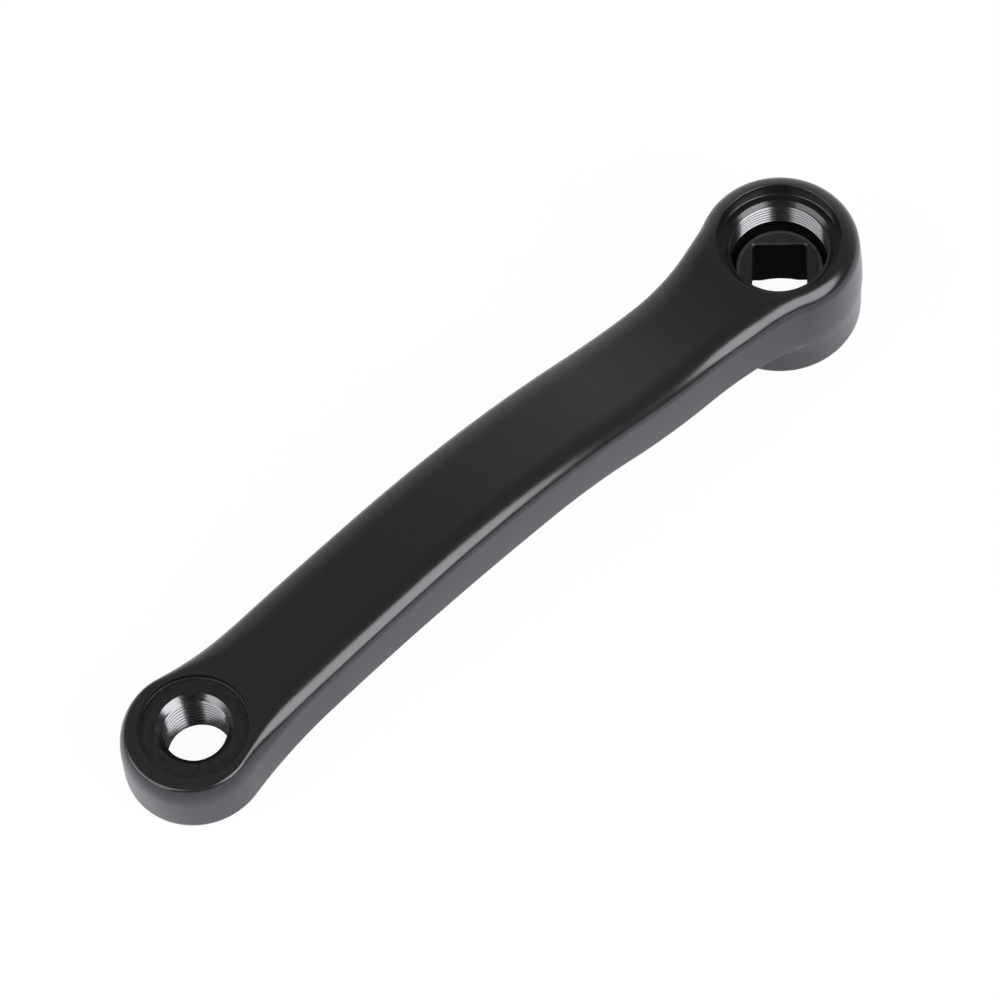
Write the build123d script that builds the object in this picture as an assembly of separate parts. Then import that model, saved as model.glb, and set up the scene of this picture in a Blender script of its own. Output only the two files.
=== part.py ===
from build123d import *
import math
import os

# One-piece left-hand bicycle crank arm for a square taper spindle.
# Frame: spindle axis on Z, z = 0 at the boss's inboard face, +Z outboard,
# the arm runs along -X to the pedal eye. All lengths in millimetres.

# --- driving dimensions -------------------------------------------------
crank_length = 170.0        # spindle axis to pedal axis
boss_height = 28.5          # inboard face to outboard face at the spindle
boss_radius = 18.1          # head of the arm around the spindle
boss_foot_radius_top = 17.95    # round foot under the head, with a little draft
boss_foot_radius_bottom = 17.75
boss_foot_round = 2.4       # rounded inboard rim of the foot
foot_blend = 2.2            # hollow rounding where the arm's underside meets the foot
eye_radius = 15.3           # rounded end around the pedal hole
eye_centre = 171.0          # the end's outline sits a little past the pedal axis
arm_half_width_root = 12.1      # arm half width near the spindle
arm_half_width_tip = 12.6       # arm half width before the pedal eye
root_blend_radius = 72.0    # plan blend between head and arm
tip_blend_start = 146.0     # where the side starts to flare to the eye
top_round = 4.6             # rounding of the outboard edges
bottom_round = 1.8          # rounding of the inboard edges

# outboard and inboard lines of the arm seen from the side:
# (distance from the spindle, height over the outboard face of the boss)
top_line = [(9.0, 0.0), (16.0, -0.6), (23.0, -1.25), (30.0, -1.1), (40.0, 0.1), (55.0, 3.6), (112.0, 11.0), (150.0, 9.0), (164.0, 8.15)]
bottom_line = [(22.0, -17.0), (32.0, -16.6), (57.0, -11.3), (80.0, -6.2), (112.0, -4.3), (150.0, -5.8), (164.0, -6.75)]

# spindle side
cap_recess_radius = 13.55   # dust cap recess
cap_recess_depth = 3.6
extractor_radius = 11.0     # M22 x 1 extractor thread, major radius
extractor_depth = 10.3      # depth of the thread's inner end
relief_radius = 11.35       # wider bore under the thread, and outside of the groove
relief_depth = 13.2         # bottom of the groove around the bolt seat
seat_radius = 9.65          # raised round pad that the bolt bears on
seat_depth = 12.2
square_at_seat = 11.9       # across flats at the bolt seat
square_taper_deg = 2.0      # each flat to the axis
square_corner_round = 0.8
square_turn_deg = 45.0      # corners point along the arm
square_lead_in = 0.25       # small break on the seat edge
inboard_countersink_radius = 7.7
inboard_countersink_deg = 55.0  # half angle to the axis

# pedal side
pedal_radius = 7.14         # 9/16 in x 20 left-hand thread, major radius
pedal_face_radius = 11.65   # machined ring the pedal axle shoulders on
pedal_face_level = 7.0      # height of that ring over the boss's outboard face
pedal_chamfer = 0.95        # outboard lead-in
pedal_back_chamfer = 0.8    # inboard lead-in
pedal_back_face_radius = 10.6
pedal_back_face_depth = 0.35


def at(s, h):
    """Point of the side view: s along the arm, h over the boss's outboard face."""
    return Vector(-s, 0, h + boss_height)


def tangent_chain(points, start_dir, lead_in, lead_out):
    """Straight lead-in, tangent arcs through the points, straight lead-out."""
    edges = [Line(lead_in, at(*points[0]))]
    direction = start_dir
    for a, b in zip(points, points[1:]):
        arc = TangentArc(at(*a), at(*b), tangent=direction)
        edges.append(arc)
        direction = arc % 1
    end = at(*points[-1])
    edges.append(Line(end, end + direction.normalized() * lead_out))
    return edges


# --- plan view ----------------------------------------------------------
def plan_points():
    """Tangent points of the outline on the +Y side, as (s, y)."""
    slope = math.atan2(arm_half_width_tip - arm_half_width_root, tip_blend_start - 30.0)
    along = (math.cos(slope), math.sin(slope))
    out = (-math.sin(slope), math.cos(slope))
    base = (30.0, arm_half_width_root)
    # head to arm: arc centre lies root_blend_radius off the side line and
    # boss_radius + root_blend_radius from the spindle axis
    c0 = (base[0] + out[0] * root_blend_radius, base[1] + out[1] * root_blend_radius)
    b = c0[0] * along[0] + c0[1] * along[1]
    c = c0[0] ** 2 + c0[1] ** 2 - (boss_radius + root_blend_radius) ** 2
    t = -b + math.sqrt(b * b - c)
    centre_a = (c0[0] + t * along[0], c0[1] + t * along[1])
    d = math.hypot(*centre_a)
    head_end = (centre_a[0] * boss_radius / d, centre_a[1] * boss_radius / d)
    side_start = (centre_a[0] - out[0] * root_blend_radius, centre_a[1] - out[1] * root_blend_radius)
    # arm to eye: the flare starts at tip_blend_start and its radius follows
    # from being tangent to the eye's circle
    q = (tip_blend_start, base[1] + (tip_blend_start - base[0]) * math.tan(slope))
    w = (q[0] - eye_centre, q[1])
    r2 = (w[0] ** 2 + w[1] ** 2 - eye_radius ** 2) / (2 * (eye_radius - (w[0] * out[0] + w[1] * out[1])))
    centre_b = (q[0] + out[0] * r2, q[1] + out[1] * r2)
    e = math.hypot(centre_b[0] - eye_centre, centre_b[1])
    eye_start = (eye_centre + (centre_b[0] - eye_centre) * eye_radius / e, centre_b[1] * eye_radius / e)
    return head_end, centre_a, side_start, q, centre_b, r2, eye_start


head_end, centre_a, side_start, side_end, centre_b, tip_blend_radius, eye_start = plan_points()


def arc_mid(centre, radius, p, q):
    a = Vector(p[0] - centre[0], p[1] - centre[1]).normalized()
    b = Vector(q[0] - centre[0], q[1] - centre[1]).normalized()
    m = (a + b).normalized() * radius
    return (centre[0] + m.X, centre[1] + m.Y)


def pv(p, sign=1):
    return Vector(-p[0], sign * p[1], 0)


outline = []
for sign in (1, -1):
    outline += [
        ThreePointArc(pv(head_end, sign), pv(arc_mid(centre_a, root_blend_radius, head_end, side_start), sign), pv(side_start, sign)),
        Line(pv(side_start, sign), pv(side_end, sign)),
        ThreePointArc(pv(side_end, sign), pv(arc_mid(centre_b, tip_blend_radius, side_end, eye_start), sign), pv(eye_start, sign)),
    ]
outline.append(ThreePointArc(pv(head_end, 1), Vector(boss_radius, 0, 0), pv(head_end, -1)))
outline.append(ThreePointArc(pv(eye_start, 1), Vector(-eye_centre - eye_radius, 0, 0), pv(eye_start, -1)))
plan = make_face(Wire(outline))
plan_solid = extrude(Pos(0, 0, -20) * plan, amount=90)

# --- side view ----------------------------------------------------------
left, right = -(crank_length + 40.0), 40.0
top_edges = tangent_chain(top_line, Vector(-1, 0, 0), Vector(right, 0, boss_height), 46.0)
bottom_edges = tangent_chain(
    bottom_line,
    Vector(-1, 0, 0),
    Vector(right, 0, boss_height + bottom_line[0][1]),
    46.0,
)
top_end, bottom_end = top_edges[-1] @ 1, bottom_edges[-1] @ 1
side_wire = Wire(
    top_edges
    + bottom_edges
    + [Line(top_edges[0] @ 0, bottom_edges[0] @ 0), Line(top_end, bottom_end)]
)
side_face = make_face(side_wire)
side_solid = extrude(side_face, amount=40, both=True, dir=Vector(0, 1, 0))

body = plan_solid & side_solid


# --- rounded edges ------------------------------------------------------
def level(line, s):
    """Height of a side-view line at distance s from the spindle."""
    if s <= line[0][0]:
        return line[0][1]
    for (a, ha), (b, hb) in zip(line, line[1:]):
        if s <= b:
            return ha + (hb - ha) * (s - a) / (b - a)
    return line[-1][1]


def rim(shape, outboard):
    """Edges around the outboard or inboard face of the arm, without the seams across it."""
    chosen = []
    for edge in shape.edges():
        mid, run = edge @ 0.5, edge % 0.5
        s = -mid.X
        upper = level(top_line, s) + boss_height
        lower = level(bottom_line, s) + boss_height
        across = abs(run.Y) > 0.99 and -boss_radius + 1 < s < eye_centre + eye_radius - 1
        upright = abs(run.Z) > 0.9
        if not across and not upright and (abs(mid.Z - upper) < abs(mid.Z - lower)) == outboard:
            chosen.append(edge)
    return chosen


body = fillet(rim(body, True), top_round)
body = fillet(rim(body, False), bottom_round)

# --- round foot of the boss ---------------------------------------------
foot_height = boss_height - 9.0
foot_rise = foot_height * (boss_foot_radius_top - boss_foot_radius_bottom) / (boss_height - 15.0)
foot = Pos(0, 0, foot_height / 2) * Cone(boss_foot_radius_bottom, boss_foot_radius_bottom + foot_rise, foot_height)
foot = fillet(foot.edges().sort_by(Axis.Z)[0], boss_foot_round)
body = body + foot
corner = []
for edge in body.edges():
    mid = edge @ 0.5
    if abs(math.hypot(mid.X, mid.Y) - boss_foot_radius_top) < 0.25 and 8.0 < mid.Z < 16.0:
        corner.append(edge)
body = fillet(corner, foot_blend)

# --- spindle side -------------------------------------------------------
top = boss_height


def bore(radius, z_low, z_high, x=0.0):
    return Pos(x, 0, (z_low + z_high) / 2) * Cylinder(radius, z_high - z_low)


body -= bore(cap_recess_radius, top - cap_recess_depth, top + 5)
body -= bore(extractor_radius, top - extractor_depth, top)
body -= bore(relief_radius, top - seat_depth, top - extractor_depth)
body -= bore(relief_radius, top - relief_depth, top - seat_depth) - bore(seat_radius, top - relief_depth - 1, top - seat_depth + 1)
lead = extractor_radius + 0.9
body -= Pos(0, 0, top - cap_recess_depth - 0.45) * Cone(extractor_radius, lead, 0.9)


def square(size, z):
    return Pos(0, 0, z) * Rot(0, 0, square_turn_deg) * RectangleRounded(size, size, square_corner_round)


taper = math.tan(math.radians(square_taper_deg))
z_seat = top - seat_depth
square_at_foot = square_at_seat + 2 * taper * (z_seat + 1.0)
body -= loft([square(square_at_seat, z_seat), square(square_at_foot, -1.0)])
body -= loft([square(square_at_seat + 2 * square_lead_in, z_seat), square(square_at_seat - square_lead_in, z_seat - 1.5 * square_lead_in)])
sink_height = inboard_countersink_radius / math.tan(math.radians(inboard_countersink_deg))
body -= Pos(0, 0, sink_height / 2) * Cone(inboard_countersink_radius, 0.01, sink_height)

# --- pedal side ---------------------------------------------------------
face = top + pedal_face_level
back = top + level(bottom_line, crank_length) + pedal_back_face_depth
px = -crank_length
body -= bore(pedal_face_radius, face, face + 8, px)
body -= bore(pedal_back_face_radius, back - 8, back, px)
body -= bore(pedal_radius, back - 2, face + 2, px)
body -= Pos(px, 0, face - pedal_chamfer / 2) * Cone(pedal_radius, pedal_radius + pedal_chamfer, pedal_chamfer)
body -= Pos(px, 0, back + pedal_back_chamfer / 2) * Cone(pedal_radius + pedal_back_chamfer, pedal_radius, pedal_back_chamfer)

crank_arm = body
print("crank_arm solids", len(crank_arm.solids()), "valid", crank_arm.is_valid, "volume cm3", round(crank_arm.volume / 1000, 2))
print("box", crank_arm.bounding_box())

os.makedirs("parts", exist_ok=True)
export_step(crank_arm, "parts/crank_arm.step")
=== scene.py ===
import math

import bmesh
import bpy
import numpy as np
from mathutils import Matrix, Vector


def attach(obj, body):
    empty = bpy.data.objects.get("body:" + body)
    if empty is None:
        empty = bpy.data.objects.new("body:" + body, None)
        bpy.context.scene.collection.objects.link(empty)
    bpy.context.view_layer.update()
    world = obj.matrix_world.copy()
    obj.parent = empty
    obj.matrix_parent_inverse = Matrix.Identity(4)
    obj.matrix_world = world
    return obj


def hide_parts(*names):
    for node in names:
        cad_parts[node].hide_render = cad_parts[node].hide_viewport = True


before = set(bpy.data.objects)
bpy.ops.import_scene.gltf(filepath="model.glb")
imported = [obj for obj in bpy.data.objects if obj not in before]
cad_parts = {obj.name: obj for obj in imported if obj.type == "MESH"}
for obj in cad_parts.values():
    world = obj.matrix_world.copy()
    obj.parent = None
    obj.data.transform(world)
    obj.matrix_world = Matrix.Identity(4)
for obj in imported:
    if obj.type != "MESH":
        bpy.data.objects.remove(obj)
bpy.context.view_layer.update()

MM = 0.001

# ---------------------------------------------------------------- dimensions
# millimetres, in the row frame: spindle axis on Z, arm along -X
crank_length = 170.0
boss_height = 28.5
boss_radius = 18.1
foot_radius_top, foot_radius_bottom, foot_round, foot_blend = 17.95, 17.75, 2.4, 2.2
eye_radius, eye_centre = 15.3, 171.0
arm_half_width_root, arm_half_width_tip = 12.1, 12.6
root_blend_radius, tip_blend_start = 72.0, 146.0
bottom_round, eye_bottom_round = 1.8, 2.0
head_round = 3.9            # outboard edge of the head
top_round_across, top_round_down = 5.4, 3.5     # along the arm the edge is flatter than a true round
eye_round_across, eye_round_down = 1.5, 5.0     # and tighter around the pedal eye
wall_lean, head_lean, eye_lean = 0.85, 1.0, 0.5     # the walls lean in towards the outboard face
head_tuck = 0.25            # the arm's outline ends inside the head
top_line = [(9.0, 0.0), (16.0, -0.6), (23.0, -1.25), (30.0, -1.1), (40.0, 0.1), (55.0, 3.6), (112.0, 11.0), (150.0, 9.0), (164.0, 8.15)]
bottom_line = [(22.0, -17.0), (32.0, -16.6), (57.0, -11.3), (80.0, -6.2), (112.0, -4.3), (150.0, -5.8), (164.0, -6.75)]

cap_recess_radius, cap_recess_depth = 13.55, 3.6
extractor_radius, extractor_minor, extractor_pitch, extractor_depth = 11.0, 10.62, 1.0, 10.3
extractor_lead_in = 0.9
relief_radius, relief_depth = 11.35, 13.2
seat_radius, seat_depth = 9.65, 12.2
square_at_seat, square_taper_deg, square_corner_round, square_lead_in = 11.9, 2.0, 0.8, 0.25
countersink_radius, countersink_deg = 7.7, 55.0

pedal_radius, pedal_minor, pedal_pitch = 7.14, 6.66, 1.27
pedal_face_radius, pedal_face_level = 11.65, 7.0
pedal_chamfer, pedal_back_chamfer = 0.95, 0.8
pedal_back_face_radius, pedal_back_face_depth = 10.6, 0.35


# ------------------------------------------------------- outside of the arm
def plan_points():
    slope = math.atan2(arm_half_width_tip - arm_half_width_root, tip_blend_start - 30.0)
    along = np.array((math.cos(slope), math.sin(slope)))
    out = np.array((-math.sin(slope), math.cos(slope)))
    base = np.array((30.0, arm_half_width_root))
    c0 = base + out * root_blend_radius
    b = c0 @ along
    c = c0 @ c0 - (boss_radius + root_blend_radius) ** 2
    centre_a = c0 + (-b + math.sqrt(b * b - c)) * along
    head_end = centre_a * boss_radius / np.linalg.norm(centre_a)
    side_start = centre_a - out * root_blend_radius
    q = np.array((tip_blend_start, base[1] + (tip_blend_start - base[0]) * math.tan(slope)))
    eye = np.array((eye_centre, 0.0))
    w = q - eye
    r2 = (w @ w - eye_radius ** 2) / (2 * (eye_radius - w @ out))
    centre_b = q + out * r2
    eye_start = eye + (centre_b - eye) * eye_radius / np.linalg.norm(centre_b - eye)
    return head_end, centre_a, side_start, q, centre_b, r2, eye_start, along, out


head_end, centre_a, side_start, side_end, centre_b, tip_blend_radius, eye_start, along, out = plan_points()


def cross2(a, b):
    return a[0] * b[..., 1] - a[1] * b[..., 0]


def sector(q, centre, a, b):
    """True where q, seen from centre, lies between the directions to a and b."""
    va, vb, vq = a - centre, b - centre, q - centre
    turn = va[0] * vb[1] - va[1] * vb[0]
    if turn < 0:
        va, vb = vb, va
    return (cross2(va, vq) >= -1e-9) & (cross2(vb, vq) <= 1e-9)


def plan_distance(x, y):
    """Signed distance to the outline of the arm in plan, negative inside."""
    q = np.stack((-x, np.abs(y)), -1)
    eye = np.array((eye_centre, 0.0))
    best = np.full(x.shape, -60.0)
    size = np.full(x.shape, 1e9)

    def offer(d, valid):
        take = valid & (np.abs(d) < size)
        best[take] = d[take]
        size[take] = np.abs(d[take])

    offer(np.linalg.norm(q, axis=-1) - boss_radius, cross2(head_end, q) >= -1e-9)
    offer(root_blend_radius - np.linalg.norm(q - centre_a, axis=-1), sector(q, centre_a, head_end, side_start))
    run = (q - side_start) @ along
    offer((q - side_start) @ out, (run >= 0) & (run <= (side_end - side_start) @ along))
    offer(tip_blend_radius - np.linalg.norm(q - centre_b, axis=-1), sector(q, centre_b, side_end, eye_start))
    offer(np.linalg.norm(q - eye, axis=-1) - eye_radius, cross2(eye_start - eye, q - eye) <= 1e-9)
    return best


def chain(points):
    """Tangent arcs through the points of a side-view line, starting level."""
    arcs = []
    d = np.array((1.0, 0.0))
    for a, b in zip(points, points[1:]):
        a, b = np.array(a), np.array(b)
        n = np.array((-d[1], d[0]))
        r = ((b - a) @ (b - a)) / (2 * ((b - a) @ n))
        c = a + n * r
        arcs.append((a[0], b[0], c, r))
        e = (b - c) / r
        d = np.array((-e[1], e[0]))
    return arcs, d


def side_height(line, s):
    """Height and slope of a side-view line at distance s from the spindle."""
    arcs, d = line_chains[line]
    points = lines[line]
    h = np.full(s.shape, points[0][1])
    m = np.zeros(s.shape)
    for s0, s1, c, r in arcs:
        k = (s >= s0) & (s < s1)
        root = np.sqrt(r * r - (s[k] - c[0]) ** 2)
        sign = 1.0 if r > 0 else -1.0
        h[k] = c[1] - sign * root
        m[k] = sign * (s[k] - c[0]) / root
    k = s >= points[-1][0]
    h[k] = points[-1][1] + (s[k] - points[-1][0]) * d[1] / d[0]
    m[k] = d[1] / d[0]
    return h + boss_height, m


lines = {"top": top_line, "bottom": bottom_line}
line_chains = {name: chain(points) for name, points in lines.items()}


def round_both(a, b, r):
    """Intersection of two fields with a rounded edge of radius r."""
    return np.minimum(np.maximum(a, b), -r) + np.hypot(np.maximum(a + r, 0), np.maximum(b + r, 0))


def round_either(a, b, r):
    """Union of two fields with a hollow rounding of radius r."""
    return -round_both(-a, -b, r)


def soft_either(a, b, k):
    h = np.maximum(k - np.abs(a - b), 0.0) / k
    return np.minimum(a, b) - h * h * k * 0.25


def ease(v):
    v = np.clip(v, 0.0, 1.0)
    return v * v * (3.0 - 2.0 * v)


def outside_field(p):
    x, y, z = p[:, 0], p[:, 1], p[:, 2]
    s = -x
    zt, mt = side_height("top", s)
    zt = zt - 0.005
    zb, mb = side_height("bottom", s)
    top = (z - zt) / np.sqrt(1 + mt * mt)
    bottom = (zb - z) / np.sqrt(1 + mb * mb)
    level = np.clip((z - zb) / (zt - zb), 0.0, 1.0)
    near_head, near_eye = ease((x + 26.0) / 20.0), ease((s - 146.0) / 26.0)
    lean = (wall_lean + (head_lean - wall_lean) * near_head + (eye_lean - wall_lean) * near_eye) * level * level
    plan = plan_distance(x, y) + lean + head_tuck * ease((x + 15.0) / 12.0)
    rise = (foot_radius_top - foot_radius_bottom) / (boss_height - 15.0)
    swell = boss_radius - 0.02 - foot_radius_bottom - rise * 14.5
    wall = np.hypot(x, y) - (foot_radius_bottom + rise * np.minimum(z, 14.5) + swell * ease((z - 8.5) / 6.0) - lean)
    core = np.maximum(wall + 0.35 * ease((9.2 - z) / 3.0), 5.0 - z)
    under = round_either(bottom, core, foot_blend)
    across = top_round_across + (eye_round_across - top_round_across) * near_eye + (head_round - top_round_across) * near_head
    down = top_round_down + (eye_round_down - top_round_down) * near_eye + (head_round - top_round_down) * near_head
    outer = across * round_both(plan / across, top / down, 1.0)
    below = bottom_round + (eye_bottom_round - bottom_round) * near_eye
    arm = below * round_both(outer / below, under / below, 1.0)
    crown = across * round_both(wall / across, (top + 0.12) / down, 1.0)
    head = round_both(crown, -z, foot_round)
    return soft_either(arm, head, 0.3)


def surface_net(field, lo, hi, step):
    """Closed quad mesh of the field's zero surface, one vertex per crossed cell."""
    lo, step = np.array(lo, float), np.array(step, float)
    n = np.ceil((np.array(hi) - lo) / step).astype(int) + 1
    axes = [lo[i] + step[i] * np.arange(n[i]) for i in range(3)]
    grid = np.stack(np.meshgrid(*axes, indexing="ij"), -1).reshape(-1, 3)
    v = field(grid).reshape(n)
    c = n - 1
    acc = np.zeros((*c, 3))
    count = np.zeros(c)
    corners = [(i, j, k) for i in (0, 1) for j in (0, 1) for k in (0, 1)]
    for a in corners:
        for axis in range(3):
            if a[axis]:
                continue
            b = list(a)
            b[axis] = 1
            va = v[a[0]:a[0] + c[0], a[1]:a[1] + c[1], a[2]:a[2] + c[2]]
            vb = v[b[0]:b[0] + c[0], b[1]:b[1] + c[1], b[2]:b[2] + c[2]]
            m = (va < 0) != (vb < 0)
            t = np.where(m, va / np.where(m, va - vb, 1.0), 0.0)
            for k in range(3):
                acc[..., k] += np.where(m, a[k] + t * (b[k] - a[k]), 0.0)
            count += m
    active = count > 0
    index = np.full(c, -1)
    index[active] = np.arange(int(active.sum()))
    points = (np.argwhere(active) + acc[active] / count[active][:, None]) * step + lo
    quads = []
    inside = v < 0
    for axis in range(3):
        u, w = (axis + 1) % 3, (axis + 2) % 3
        here = [slice(1, -1)] * 3
        here[axis] = slice(0, -1)
        there = list(here)
        there[axis] = slice(1, None)
        a, b = inside[tuple(here)], inside[tuple(there)]
        for first in (True, False):
            pick = np.argwhere((a != b) & (a == first))
            for k in range(3):
                if k != axis:
                    pick[:, k] += 1
            ring = []
            for du, dw in ((-1, -1), (0, -1), (0, 0), (-1, 0)):
                cell = pick.copy()
                cell[:, u] += du
                cell[:, w] += dw
                ring.append(index[cell[:, 0], cell[:, 1], cell[:, 2]])
            ring = np.stack(ring, 1)
            quads.append(ring if first else ring[:, ::-1])
    return points, np.concatenate(quads)


def gradient(field, p, h=0.02):
    g = np.empty_like(p)
    for k in range(3):
        e = np.zeros(3)
        e[k] = h
        g[:, k] = (field(p + e) - field(p - e)) / (2 * h)
    return g


def settle(field, p, rounds=3):
    for _ in range(rounds):
        g = gradient(field, p)
        step = field(p) / np.maximum((g * g).sum(1), 0.2)
        p = p - np.clip(step, -0.4, 0.4)[:, None] * g
    return p


def relax(field, p, quads, rounds=6):
    a = np.concatenate([quads[:, i] for i in range(4)])
    b = np.concatenate([quads[:, (i + 1) % 4] for i in range(4)])
    degree = np.bincount(a, minlength=len(p)) + np.bincount(b, minlength=len(p))
    for _ in range(rounds):
        mean = np.empty_like(p)
        for k in range(3):
            mean[:, k] = np.bincount(a, p[b, k], len(p)) + np.bincount(b, p[a, k], len(p))
        p = settle(field, p + 0.5 * (mean / degree[:, None] - p), 2)
    return settle(field, p, 3)


def refine(field, points, faces, limit, rounds):
    """Split the edges along which the surface turns by more than limit degrees."""
    bm = bmesh.new()
    verts = [bm.verts.new(p) for p in points]
    for f in faces:
        bm.faces.new([verts[i] for i in f])
    for _ in range(rounds):
        bm.verts.index_update()
        co = np.array([v.co for v in bm.verts])
        g = gradient(field, co)
        g /= np.linalg.norm(g, axis=1)[:, None]
        ends = np.array([(e.verts[0].index, e.verts[1].index) for e in bm.edges])
        turn = (g[ends[:, 0]] * g[ends[:, 1]]).sum(1)
        sharp = [e for e, t in zip(bm.edges, turn) if t < math.cos(math.radians(limit))]
        bmesh.ops.subdivide_edges(bm, edges=sharp, cuts=1, use_grid_fill=True)
        co = settle(field, np.array([v.co for v in bm.verts]), 3)
        for v, p in zip(bm.verts, co):
            v.co = p
    bm.verts.index_update()
    points = np.array([v.co for v in bm.verts])
    faces = [[v.index for v in f.verts] for f in bm.faces]
    bm.free()
    return points, faces


def mesh_object(name, points, faces, materials, pick=None):
    mesh = bpy.data.meshes.new(name)
    mesh.from_pydata((np.asarray(points) * MM).tolist(), [], [list(map(int, f)) for f in faces])
    for m in materials:
        mesh.materials.append(m)
    bm = bmesh.new()
    bm.from_mesh(mesh)
    bmesh.ops.remove_doubles(bm, verts=bm.verts, dist=2e-7)
    bmesh.ops.dissolve_degenerate(bm, edges=bm.edges, dist=1e-7)
    bmesh.ops.recalc_face_normals(bm, faces=bm.faces)
    open_edges = sum(1 for e in bm.edges if len(e.link_faces) != 2)
    if open_edges:
        print("OPEN EDGES", name, open_edges)
    if pick is not None:
        for f in bm.faces:
            c = f.calc_center_median() / MM
            f.material_index = pick(c)
    bm.to_mesh(mesh)
    bm.free()
    obj = bpy.data.objects.new(name, mesh)
    bpy.context.scene.collection.objects.link(obj)
    return obj


# --------------------------------------------------------- tools that cut it
def thread_radius(theta, z, z0, pitch, minor, major, hand):
    phase = np.mod((z - z0) / pitch - hand * theta / (2 * math.pi), 1.0)
    t = np.abs(phase - 0.5)
    return major + (minor - major) * np.clip((t - 1 / 16) / (3 / 8 - 1 / 16), 0, 1)


def screw(x0, below, above, zl, zh, pitch, minor, major, hand, widen, columns=224):
    """Closed cutter: plain rings below, a helical sheet from zl to zh, plain rings above.
    below and above are lists of (radius, z) from the low end up; widen(z) is the least radius of the sheet.
    A third value of 1 in a pair makes that ring follow the rise and fall of the outboard face."""
    theta = 2 * math.pi * np.arange(columns) / columns
    points, faces = [], []

    def ring(radius, z, follow=0):
        start = len(points)
        for t in theta:
            x, y = x0 + radius * math.cos(t), radius * math.sin(t)
            fall = side_height("top", np.array([-x]))[0][0] - boss_height if follow else 0.0
            points.append((x, y, z + float(fall)))
        return list(range(start, start + columns))

    def strip(a, b):
        for i in range(columns):
            j = (i + 1) % columns
            faces.append((a[i], a[j], b[j], b[i]))

    def sheet_radius(t, z):
        return np.maximum(thread_radius(t, z, zl, pitch, minor, major, hand), widen(z))

    # helical sheet: row j follows the thread, and is held at the two ends
    phases = np.array([0.0, 0.125, 0.2188, 0.3125, 0.375, 0.4375, 0.5, 0.5625, 0.625, 0.6875, 0.7813, 0.875])
    n = len(phases)
    turns = int(math.ceil((zh - zl) / pitch)) + 2
    rows = []
    for j in range(turns * n):
        base = zl - pitch + (j // n + phases[j % n]) * pitch
        lift = theta / (2 * math.pi) * pitch
        z = base + lift if hand > 0 else base + pitch - lift - pitch
        z = np.clip(z, zl, zh)
        r = sheet_radius(theta, z)
        start = len(points)
        for t, rr, zz in zip(theta, r, z):
            points.append((x0 + rr * math.cos(t), rr * math.sin(t), float(zz)))
        rows.append(list(range(start, start + columns)))
    last = len(rows) - 1
    for j in range(last):
        for i in range(columns - 1):
            faces.append((rows[j][i], rows[j][i + 1], rows[j + 1][i + 1], rows[j + 1][i]))
        i = columns - 1
        if hand > 0:
            ja, jb = min(j + n, last), min(j + 1 + n, last)
        else:
            ja, jb = max(j - n, 0), max(j + 1 - n, 0)
        faces.append((rows[j][i], rows[ja][0], rows[jb][0], rows[j + 1][i]))

    low = [ring(*at) for at in below]
    for a, b in zip(low, low[1:]):
        strip(a, b)
    strip(low[-1], rows[0])
    high = [ring(*at) for at in above]
    strip(rows[last], high[0])
    for a, b in zip(high, high[1:]):
        strip(a, b)
    faces.append(tuple(reversed(low[0])))
    faces.append(tuple(high[-1]))
    return points, faces


def arc(cx, cz, r, a0, a1, n=5):
    """(radius, z) points on a small rounding."""
    return [(cx + r * math.cos(math.radians(a0 + (a1 - a0) * i / n)), cz + r * math.sin(math.radians(a0 + (a1 - a0) * i / n))) for i in range(n + 1)]


def rounded_square(size, corner, z, turn=45.0, n=6):
    pts = []
    half = size / 2 - corner
    for q in range(4):
        cx, cy = ((half, half), (-half, half), (-half, -half), (half, -half))[q]
        for i in range(n + 1):
            a = math.radians(90 * q + 90 * i / n)
            x, y = cx + corner * math.cos(a), cy + corner * math.sin(a)
            t = math.radians(turn)
            pts.append((x * math.cos(t) - y * math.sin(t), x * math.sin(t) + y * math.cos(t), z))
    return pts


def stack(rings):
    points, faces = [], []
    count = len(rings[0])
    for r in rings:
        points += r
    for k in range(len(rings) - 1):
        for i in range(count):
            j = (i + 1) % count
            faces.append((k * count + i, k * count + j, (k + 1) * count + j, (k + 1) * count + i))
    faces.append(tuple(reversed(range(count))))
    faces.append(tuple(range((len(rings) - 1) * count, len(rings) * count)))
    return points, faces


def circle(radius, z, x0=0.0, columns=224):
    return [(x0 + radius * math.cos(2 * math.pi * i / columns), radius * math.sin(2 * math.pi * i / columns), z) for i in range(columns)]


# ------------------------------------------------------------------ materials
def new_material(name):
    m = bpy.data.materials.new(name)
    m.use_nodes = True
    nodes, links = m.node_tree.nodes, m.node_tree.links
    nodes.clear()
    output = nodes.new("ShaderNodeOutputMaterial")
    shader = nodes.new("ShaderNodeBsdfPrincipled")
    links.new(shader.outputs["BSDF"], output.inputs["Surface"])
    coord = nodes.new("ShaderNodeTexCoord")
    return m, nodes, links, shader, coord


def noise(nodes, links, vector, scale, detail=3.0, rough=0.55, distortion=0.0):
    t = nodes.new("ShaderNodeTexNoise")
    t.inputs["Scale"].default_value = scale
    t.inputs["Detail"].default_value = detail
    t.inputs["Roughness"].default_value = rough
    t.inputs["Distortion"].default_value = distortion
    links.new(vector, t.inputs["Vector"])
    return t.outputs["Fac"]


def span(nodes, links, value, a, b, lo, hi):
    t = nodes.new("ShaderNodeMapRange")
    t.inputs["From Min"].default_value = a
    t.inputs["From Max"].default_value = b
    t.inputs["To Min"].default_value = lo
    t.inputs["To Max"].default_value = hi
    links.new(value, t.inputs["Value"])
    return t.outputs["Result"]


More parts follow.
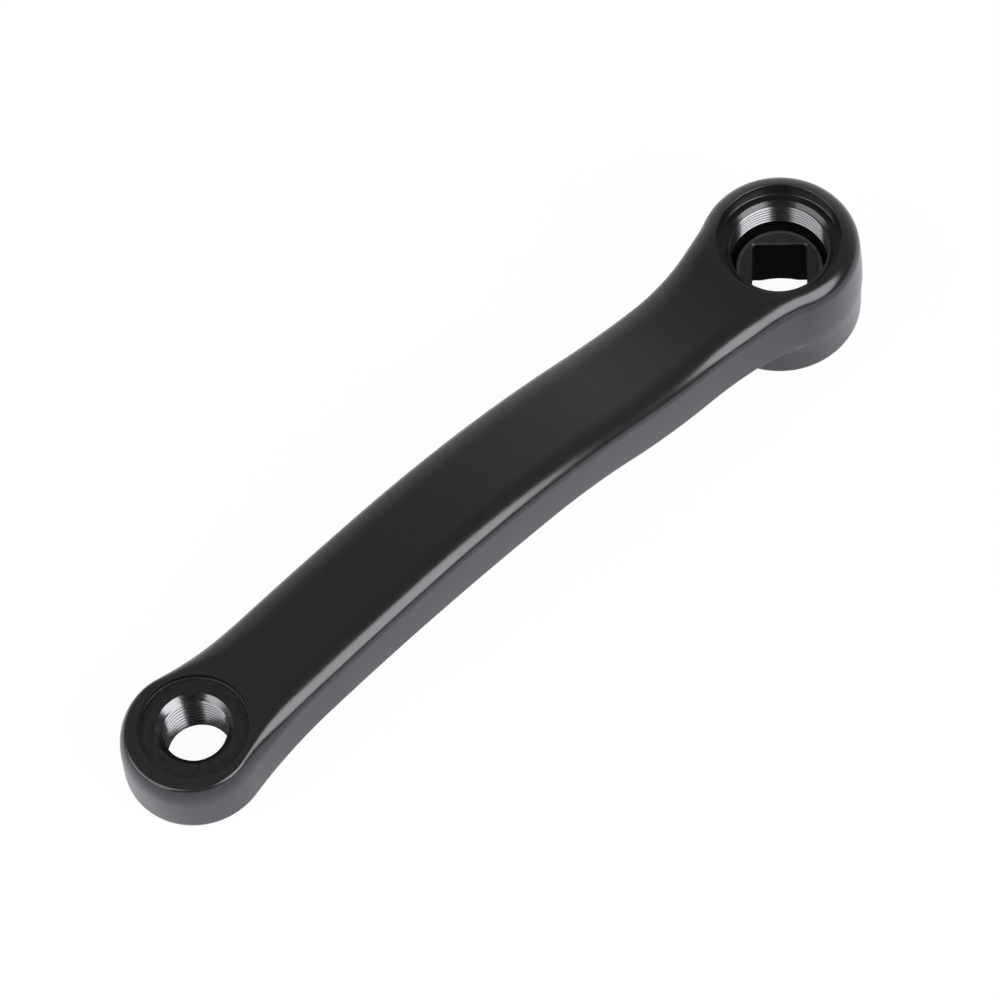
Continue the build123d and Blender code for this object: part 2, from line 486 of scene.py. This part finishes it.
def ramp(nodes, links, value, stops):
    t = nodes.new("ShaderNodeValToRGB")
    while len(t.color_ramp.elements) < len(stops):
        t.color_ramp.elements.new(0.5)
    for e, (pos, col) in zip(t.color_ramp.elements, stops):
        e.position = pos
        e.color = (*col, 1.0)
    links.new(value, t.inputs["Fac"])
    return t.outputs["Color"]


def mapped(nodes, links, vector, scale=(1, 1, 1), location=(0, 0, 0), rotation=(0, 0, 0)):
    t = nodes.new("ShaderNodeMapping")
    t.inputs["Scale"].default_value = scale
    t.inputs["Location"].default_value = location
    t.inputs["Rotation"].default_value = rotation
    links.new(vector, t.inputs["Vector"])
    return t.outputs["Vector"]


def bump(nodes, links, height, strength, distance, normal=None):
    t = nodes.new("ShaderNodeBump")
    t.inputs["Strength"].default_value = strength
    t.inputs["Distance"].default_value = distance
    links.new(height, t.inputs["Height"])
    if normal is not None:
        links.new(normal, t.inputs["Normal"])
    return t.outputs["Normal"]


def paint_material():
    """Satin black stove paint over a forged surface: very fine orange peel, a slow
    unevenness in gloss, a few faint streaks of rubbing along the arm, and a painted shade on the faces turned
    downwards, whose reflection is cut so the bottom edges read dark."""
    m, nodes, links, shader, coord = new_material("satin_black_paint")
    p = coord.outputs["Object"]
    slow = noise(nodes, links, p, 60.0, 3.0)
    cloud = noise(nodes, links, p, 420.0, 4.0)
    peel = noise(nodes, links, p, 1300.0, 2.0, 0.5)
    grain = noise(nodes, links, p, 6500.0, 2.0, 0.6)
    streak = noise(nodes, links, mapped(nodes, links, p, (40.0, 900.0, 900.0)), 1.0, 4.0, 0.6, 0.4)
    links.new(ramp(nodes, links, cloud, [(0.3, (0.0112, 0.0112, 0.0118)), (0.7, (0.0130, 0.0130, 0.0137))]), shader.inputs["Base Color"])
    mix = nodes.new("ShaderNodeMath")
    mix.operation = "ADD"
    links.new(span(nodes, links, slow, 0.3, 0.7, 0.185, 0.225), mix.inputs[0])
    links.new(span(nodes, links, streak, 0.62, 0.78, 0.0, 0.04), mix.inputs[1])
    links.new(mix.outputs[0], shader.inputs["Roughness"])
    n1 = bump(nodes, links, peel, 0.05, 0.00010)
    n2 = bump(nodes, links, grain, 0.06, 0.00003, n1)
    links.new(n2, shader.inputs["Normal"])
    # painted shade: the specular level falls from 0.5 to 0.06 as the face turns downwards, so the underside and bottom
    # edges reflect little and look dark
    facing = nodes.new("ShaderNodeNewGeometry")
    turn = nodes.new("ShaderNodeSeparateXYZ")
    links.new(facing.outputs["Normal"], turn.inputs[0])
    links.new(span(nodes, links, turn.outputs["Z"], -0.32, -0.03, 0.06, 0.5), shader.inputs["Specular IOR Level"])
    shader.inputs["IOR"].default_value = 1.5
    shader.inputs["Specular Tint"].default_value = (0.97, 0.95, 1.0, 1.0)
    return m


def bore_material():
    """The same black on the turned wall and floor of the wide recess, thinner and glossier."""
    m, nodes, links, shader, coord = new_material("black_in_recess")
    p = coord.outputs["Object"]
    cloud = noise(nodes, links, p, 500.0, 4.0)
    turned = noise(nodes, links, mapped(nodes, links, p, (60.0, 60.0, 5200.0)), 1.0, 3.0)
    links.new(ramp(nodes, links, cloud, [(0.3, (0.0062, 0.0062, 0.0066)), (0.7, (0.0100, 0.0100, 0.0105))]), shader.inputs["Base Color"])
    links.new(span(nodes, links, cloud, 0.3, 0.7, 0.17, 0.25), shader.inputs["Roughness"])
    links.new(bump(nodes, links, turned, 0.10, 0.00004), shader.inputs["Normal"])
    shader.inputs["IOR"].default_value = 1.5
    return m


def thread_material():
    """Cut threads under a thin, dark and glossy film."""
    m, nodes, links, shader, coord = new_material("blackened_threads")
    p = coord.outputs["Object"]
    cloud = noise(nodes, links, p, 900.0, 4.0)
    grain = noise(nodes, links, p, 5000.0, 3.0)
    links.new(ramp(nodes, links, cloud, [(0.35, (0.0030, 0.0030, 0.0032)), (0.75, (0.0065, 0.0065, 0.0070))]), shader.inputs["Base Color"])
    links.new(span(nodes, links, cloud, 0.3, 0.7, 0.16, 0.22), shader.inputs["Roughness"])
    links.new(bump(nodes, links, grain, 0.12, 0.00003), shader.inputs["Normal"])
    shader.inputs["IOR"].default_value = 2.0
    shader.inputs["Specular Tint"].default_value = (0.96, 0.95, 1.0, 1.0)
    return m


def face_material():
    """The spot face around the pedal hole: duller, with rings left by the cutter."""
    m, nodes, links, shader, coord = new_material("dull_spot_face")
    p = mapped(nodes, links, coord.outputs["Object"], location=(crank_length * MM, 0.0, 0.0))
    rings = nodes.new("ShaderNodeTexWave")
    rings.wave_type = "RINGS"
    rings.rings_direction = "Z"
    rings.inputs["Scale"].default_value = 330.0
    rings.inputs["Distortion"].default_value = 1.2
    rings.inputs["Detail"].default_value = 2.0
    rings.inputs["Detail Scale"].default_value = 2.0
    links.new(p, rings.inputs["Vector"])
    cloud = noise(nodes, links, coord.outputs["Object"], 700.0, 5.0, 0.65)
    grain = noise(nodes, links, coord.outputs["Object"], 3600.0, 3.0, 0.65)
    links.new(ramp(nodes, links, cloud, [(0.3, (0.0040, 0.0040, 0.0042)), (0.72, (0.0080, 0.0080, 0.0084))]), shader.inputs["Base Color"])
    links.new(span(nodes, links, cloud, 0.3, 0.7, 0.38, 0.52), shader.inputs["Roughness"])
    n1 = bump(nodes, links, rings.outputs["Fac"], 0.30, 0.00005)
    n2 = bump(nodes, links, grain, 0.20, 0.00006, n1)
    links.new(n2, shader.inputs["Normal"])
    shader.inputs["Specular IOR Level"].default_value = 0.3
    return m


def socket_material():
    """Broached walls of the square: dull, with upright broach lines. Its near-black, nearly unreflecting colour is a
    painted shade, laid also on the groove at the foot of the well and on the low wall round the pedal spot face.
    """
    m, nodes, links, shader, coord = new_material("socket_black_painted_shade")
    p = coord.outputs["Object"]
    cloud = noise(nodes, links, p, 600.0, 4.0)
    drag = noise(nodes, links, mapped(nodes, links, p, (2600.0, 2600.0, 60.0)), 1.0, 3.0)
    links.new(ramp(nodes, links, cloud, [(0.3, (0.0022, 0.0022, 0.0022)), (0.7, (0.0042, 0.0042, 0.0041))]), shader.inputs["Base Color"])
    links.new(span(nodes, links, drag, 0.3, 0.7, 0.50, 0.66), shader.inputs["Roughness"])
    links.new(bump(nodes, links, drag, 0.15, 0.00004), shader.inputs["Normal"])
    shader.inputs["Specular IOR Level"].default_value = 0.12
    return m


def seat_material(name, low, high, rough):
    """Turned rings at the bottom of the well, where the black is thin or worn; the lighter copy on the outer edge of
    the seat pad also carries a painted highlight.
    """
    m, nodes, links, shader, coord = new_material(name)
    p = coord.outputs["Object"]
    cloud = noise(nodes, links, p, 800.0, 4.0, 0.6)
    rings = nodes.new("ShaderNodeTexWave")
    rings.wave_type = "RINGS"
    rings.rings_direction = "Z"
    rings.inputs["Scale"].default_value = 520.0
    rings.inputs["Distortion"].default_value = 0.8
    links.new(p, rings.inputs["Vector"])
    links.new(ramp(nodes, links, cloud, [(0.3, low), (0.7, high)]), shader.inputs["Base Color"])
    links.new(span(nodes, links, cloud, 0.3, 0.7, rough - 0.05, rough + 0.05), shader.inputs["Roughness"])
    links.new(bump(nodes, links, rings.outputs["Fac"], 0.15, 0.00003), shader.inputs["Normal"])
    shader.inputs["IOR"].default_value = 1.5
    return m


paint, bores, threads, spot = paint_material(), bore_material(), thread_material(), face_material()
# the near-black socket coat is a painted shade for the square, the groove at the foot of the well and the wall round
# the spot face
dull_black_painted_shade = socket_material()
seat = seat_material("thin_black_seat", (0.022, 0.022, 0.019), (0.034, 0.034, 0.030), 0.42)
# the outer ring of the seat pad is a lighter black: worn, and partly a painted highlight where its edge catches the
# light
wear_and_highlight = seat_material("worn_seat_edge_painted_highlight", (0.050, 0.050, 0.049), (0.080, 0.080, 0.078), 0.38)
slots = [paint, bores, threads, spot, dull_black_painted_shade, seat, wear_and_highlight]

# ------------------------------------------------------------------- the arm
lo = (-eye_centre - eye_radius - 1.6, -boss_radius - 1.27, -1.3)
hi = (boss_radius + 1.6, boss_radius + 1.4, boss_height + 12.6)
points, quads = surface_net(outside_field, lo, hi, (0.84, 0.66, 0.66))
points = relax(outside_field, settle(outside_field, points, 4), quads)
points, faces = refine(outside_field, points, quads, 9.0, 2)
piece = mesh_object("crank_arm_body", points, faces, slots)

top = boss_height
chamfer_top = top - cap_recess_depth
# bolt seat, groove around it, puller thread and wide recess
rim = 0.28
well_below = [
    (seat_radius - 0.95, top - seat_depth),
    (seat_radius - 0.3, top - seat_depth),
    (seat_radius, top - seat_depth - 0.3),
    (seat_radius, top - relief_depth),
    (relief_radius, top - relief_depth),
    (relief_radius, top - extractor_depth - 0.1),
    (relief_radius - 0.1, top - extractor_depth),
]
well_above = (
    [(extractor_radius + 0.03, chamfer_top - extractor_lead_in), (extractor_radius + extractor_lead_in, chamfer_top)]
    + arc(cap_recess_radius - 0.35, chamfer_top + 0.35, 0.35, -90, 0)
    + [(r, z, 1) for r, z in arc(cap_recess_radius + rim, top - rim, rim, 180, 90)]
    + [(cap_recess_radius + rim + 0.4, top + 0.12, 1), (cap_recess_radius + rim + 0.4, top + 4.0)]
)
well_points, well_faces = screw(
    0.0, well_below, well_above, top - extractor_depth, chamfer_top - extractor_lead_in, extractor_pitch, extractor_minor,
    extractor_radius, 1, lambda z: extractor_minor,
)


def well_pick(c):
    r = math.hypot(c.x, c.y)
    if top - extractor_depth < c.z < chamfer_top - extractor_lead_in and r < extractor_radius + 0.02:
        return 2
    if c.z > top - extractor_depth:
        return 1
    if r < seat_radius - 0.01 and c.z > top - seat_depth - 0.29:
        # the outer ring of the seat pad takes the lighter black, worn and partly a painted highlight
        return 6 if r > seat_radius - 0.95 else 5
    # painted shade: the groove at the foot of the well takes the near-black socket coat
    return 4


well = mesh_object("cut_well", well_points, well_faces, slots, well_pick)

taper = math.tan(math.radians(square_taper_deg))
z_seat = top - seat_depth
socket_rings = [
    rounded_square(square_at_seat + 2 * taper * (z_seat + 1.0), square_corner_round, -1.0),
    rounded_square(square_at_seat + 0.02, square_corner_round, z_seat - square_lead_in),
    rounded_square(square_at_seat + 2 * square_lead_in, square_corner_round, z_seat),
    rounded_square(square_at_seat + 2 * square_lead_in, square_corner_round, z_seat + 1.0),
]
# painted shade: the square's walls take the near-black socket coat; its lead-in takes the seat black
socket = mesh_object("cut_socket", *stack(socket_rings), slots, lambda c: 5 if z_seat - square_lead_in < c.z < z_seat else 4)
sink = math.tan(math.radians(countersink_deg))
sink_rings = [
    circle(countersink_radius + 0.25 + 0.6 * sink, -0.6),
    circle(countersink_radius, 0.0),
    circle(countersink_radius - 5.6 * sink, 5.6),
]
lead = mesh_object("cut_lead_in", *stack(sink_rings), slots, lambda c: 1)

px = -crank_length
face = top + pedal_face_level
back = top + bottom_line[-1][1] + pedal_back_face_depth
eye_below = [
    (pedal_back_face_radius + 0.15, back - 6.0),
    (pedal_back_face_radius + 0.15, back - 0.15),
    (pedal_back_face_radius, back),
    (pedal_radius + pedal_back_chamfer, back),
]
eye_above = (
    [(pedal_radius + pedal_chamfer, face)]
    + arc(pedal_face_radius - 0.3, face + 0.3, 0.3, -90, 0)
    + [(pedal_face_radius + 0.10, face + 6.0)]
)
eye_points, eye_faces = screw(
    px, eye_below, eye_above, back, face, pedal_pitch, pedal_minor, pedal_radius, -1,
    lambda z: np.maximum(pedal_radius + pedal_chamfer - (face - z), pedal_radius + pedal_back_chamfer - (z - back)),
    columns=192,
)


def eye_pick(c):
    r = math.hypot(c.x - px, c.y)
    if back + 0.01 < c.z < face - 0.01 and r < pedal_radius + 1.0:
        return 2
    if c.z >= face - 0.02 and r < pedal_face_radius - 0.02:
        return 3
    # painted shade: the low wall round the spot face takes the near-black socket coat
    return 4 if c.z > face else 3


eye = mesh_object("cut_eye", eye_points, eye_faces, slots, eye_pick)

for tool in (well, socket, lead, eye):
    cut = piece.modifiers.new("cut", "BOOLEAN")
    cut.operation = "DIFFERENCE"
    cut.object = tool
    cut.solver = "MANIFOLD"
graph = bpy.context.evaluated_depsgraph_get()
result = bpy.data.meshes.new_from_object(piece.evaluated_get(graph))
piece.modifiers.clear()
piece.data = result
for tool in (well, socket, lead, eye):
    bpy.data.objects.remove(tool, do_unlink=True)

bm = bmesh.new()
bm.from_mesh(result)
bmesh.ops.remove_doubles(bm, verts=bm.verts, dist=1e-6)
bmesh.ops.dissolve_degenerate(bm, edges=bm.edges, dist=1e-6)
loose = [v for v in bm.verts if not v.link_faces]
bmesh.ops.delete(bm, geom=loose, context="VERTS")
# triangles throughout, with no diagonal laid along an edge that is already there
bmesh.ops.dissolve_verts(bm, verts=[v for v in bm.verts if len(v.link_edges) == 2])
bmesh.ops.triangulate(bm, faces=[f for f in bm.faces if len(f.verts) > 4])
bm.verts.index_update()
taken = {}
for f in bm.faces:
    if len(f.verts) == 4:
        a, b, c, d = f.verts
        for pair in ((a, c), (b, d)):
            taken.setdefault(tuple(sorted((pair[0].index, pair[1].index))), []).append(f)
for f in [f for f in bm.faces if len(f.verts) == 4]:
    a, b, c, d = f.verts
    free = []
    for p, q in ((a, c), (b, d)):
        shared = len(taken[tuple(sorted((p.index, q.index)))]) > 1 or bm.edges.get((p, q)) is not None
        free.append(not shared)
    if free[0] != free[1]:
        bmesh.utils.face_split(f, a if free[0] else b, c if free[0] else d)
bmesh.ops.triangulate(bm, faces=[f for f in bm.faces if len(f.verts) > 3])
print("crank_arm_body", "faces", len(bm.faces), "triangles", sum(len(f.verts) - 2 for f in bm.faces), "open edges", sum(1 for e in bm.edges if len(e.link_faces) != 2), "volume cm3", round(bm.calc_volume() * 1e6, 2))
bm.to_mesh(result)
bm.free()
result.name = "crank_arm_body"
result.shade_smooth()
result.set_sharp_from_angle(angle=math.radians(32))

# the outside takes its shading normals from its own shape, the cut faces keep theirs
co = np.empty(len(result.vertices) * 3)
result.vertices.foreach_get("co", co)
co = co.reshape(-1, 3)
corner_vertex = np.empty(len(result.loops), dtype=np.int32)
result.loops.foreach_get("vertex_index", corner_vertex)
face_slot, face_size = np.empty(len(result.polygons), dtype=np.int32), np.empty(len(result.polygons), dtype=np.int32)
result.polygons.foreach_get("material_index", face_slot)
result.polygons.foreach_get("loop_total", face_size)
slope = gradient(outside_field, co / MM)
slope /= np.linalg.norm(slope, axis=1)[:, None]
outside = (np.repeat(face_slot, face_size) == 0) & (np.abs(outside_field(co / MM)) < 0.02)[corner_vertex]
result.normals_split_custom_set(np.where(outside[:, None], slope[corner_vertex], 0.0).tolist())

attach(piece, "root")
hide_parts("crank_arm")

# ------------------------------------------------------------------ the floor
foot_side, eye_side = co[co[:, 0] > -0.06], co[co[:, 0] < -0.12]
low_angle, high_angle = 0.0, math.radians(15)
for _ in range(40):
    tilt = (low_angle + high_angle) / 2
    n = np.array((math.sin(tilt), 0.0, math.cos(tilt)))
    if (eye_side @ n).min() > (foot_side @ n).min():
        low_angle = tilt
    else:
        high_angle = tilt
up = Vector((math.sin(tilt), 0.0, math.cos(tilt)))
rest_height = float((foot_side @ np.array(up)).min()) - 0.00003

size = 3.0
floor_mesh = bpy.data.meshes.new("floor")
floor_mesh.from_pydata([(-size, -size, 0), (size, -size, 0), (size, size, 0), (-size, size, 0)], [], [(0, 1, 2, 3)])
floor = bpy.data.objects.new("floor", floor_mesh)
bpy.context.scene.collection.objects.link(floor)
floor.matrix_world = Matrix.Translation(up * rest_height) @ Matrix.Rotation(tilt, 4, "Y")
floor_material = bpy.data.materials.new("pale_floor")
floor_material.use_nodes = True
fn, fl = floor_material.node_tree.nodes, floor_material.node_tree.links
floor_shader = fn["Principled BSDF"]
floor_shader.inputs["Base Color"].default_value = (0.80, 0.785, 0.84, 1.0)
floor_shader.inputs["Roughness"].default_value = 0.9
floor_shader.inputs["Specular IOR Level"].default_value = 0.1
floor_shader.inputs["Emission Color"].default_value = (1.0, 1.0, 1.0, 1.0)
floor_shader.inputs["Emission Strength"].default_value = 0.12
floor_white = fn.new("ShaderNodeEmission")
floor_white.inputs["Color"].default_value = (1.0, 1.0, 1.0, 1.0)
floor_white.inputs["Strength"].default_value = 1.0
floor_mix = fn.new("ShaderNodeMixShader")
floor_path = fn.new("ShaderNodeLightPath")
fl.new(span(fn, fl, floor_path.outputs["Is Camera Ray"], 0.0, 1.0, 0.0, 0.95), floor_mix.inputs[0])
fl.new(floor_shader.outputs[0], floor_mix.inputs[1])
fl.new(floor_white.outputs[0], floor_mix.inputs[2])
fl.new(floor_mix.outputs[0], fn["Material Output"].inputs["Surface"])
floor_mesh.materials.append(floor_material)

# ------------------------------------------------------------------ the light
centre = Vector((-0.085, 0.0, 0.02))


def softbox(name, shape, direction, distance, width, height, radiance):
    data = bpy.data.lights.new(name, "AREA")
    data.shape = shape
    data.size, data.size_y = width, height
    data.energy = radiance * math.pi * width * height * (math.pi / 4 if shape == "ELLIPSE" else 1.0)
    obj = bpy.data.objects.new(name, data)
    bpy.context.scene.collection.objects.link(obj)
    d = Vector(direction).normalized()
    obj.location = centre + d * distance
    obj.rotation_euler = d.to_track_quat("Z", "Y").to_euler()
    return obj


def towards(azimuth, elevation):
    a, e = math.radians(azimuth), math.radians(elevation)
    return (math.cos(a) * math.cos(e), math.sin(a) * math.cos(e), math.sin(e))


softbox("softbox_right", "ELLIPSE", towards(-79.5, 36.0), 1.1, 1.02, 0.92, 7.0)
softbox("softbox_left", "RECTANGLE", towards(164.0, 38.0), 1.1, 1.15, 1.03, 3.9)

# a dark room with a white sweep at the back, seen as plain white behind the part
world = bpy.data.worlds.new("studio")
bpy.context.scene.world = world
world.use_nodes = True
wn, wl = world.node_tree.nodes, world.node_tree.links
wn.clear()
w_out = wn.new("ShaderNodeOutputWorld")
w_mix = wn.new("ShaderNodeMixShader")
w_path = wn.new("ShaderNodeLightPath")
w_coord = wn.new("ShaderNodeTexCoord")
w_dot = wn.new("ShaderNodeVectorMath")
w_dot.operation = "DOT_PRODUCT"
w_dot.inputs[1].default_value = Vector((0.55, 0.71, -0.44)).normalized()
w_room = wn.new("ShaderNodeBackground")
w_white = wn.new("ShaderNodeBackground")
wl.new(w_coord.outputs["Generated"], w_dot.inputs[0])
sweep = [(-0.3, 0.04), (-0.1, 0.072), (0.05, 0.16), (0.2, 0.28), (0.4, 0.48), (0.6, 0.64), (0.9, 0.88), (1.0, 0.96)]
wl.new(
    ramp(wn, wl, span(wn, wl, w_dot.outputs["Value"], -1.0, 1.0, 0.0, 1.0), [((t + 1) / 2, (v, v, v * 1.02)) for t, v in sweep]),
    w_room.inputs["Color"],
)
w_room.inputs["Strength"].default_value = 1.25
w_white.inputs["Color"].default_value = (1.0, 1.0, 1.0, 1.0)
w_white.inputs["Strength"].default_value = 1.0
wl.new(w_path.outputs["Is Camera Ray"], w_mix.inputs[0])
wl.new(w_room.outputs[0], w_mix.inputs[1])
wl.new(w_white.outputs[0], w_mix.inputs[2])
wl.new(w_mix.outputs[0], w_out.inputs["Surface"])

# ----------------------------------------------------------------- the camera
camera_data = bpy.data.cameras.new("camera")
camera_data.sensor_width = 36.0
camera_data.lens = 181.556
camera_data.clip_start, camera_data.clip_end = 0.05, 20.0
camera = bpy.data.objects.new("camera", camera_data)
bpy.context.scene.collection.objects.link(camera)
right = Vector((0.7209857, -0.690525, -0.0579209))
upward = Vector((0.6275358, 0.6151888, 0.4772227))
backward = Vector((-0.293902, -0.3804182, 0.8768715))
turn = Matrix((right, upward, backward)).transposed()
camera.matrix_world = Matrix.Translation((-0.3992357, -0.4077103, 0.9604972)) @ turn.to_4x4()
bpy.context.scene.camera = camera
bpy.context.scene.view_settings.view_transform = "Standard"
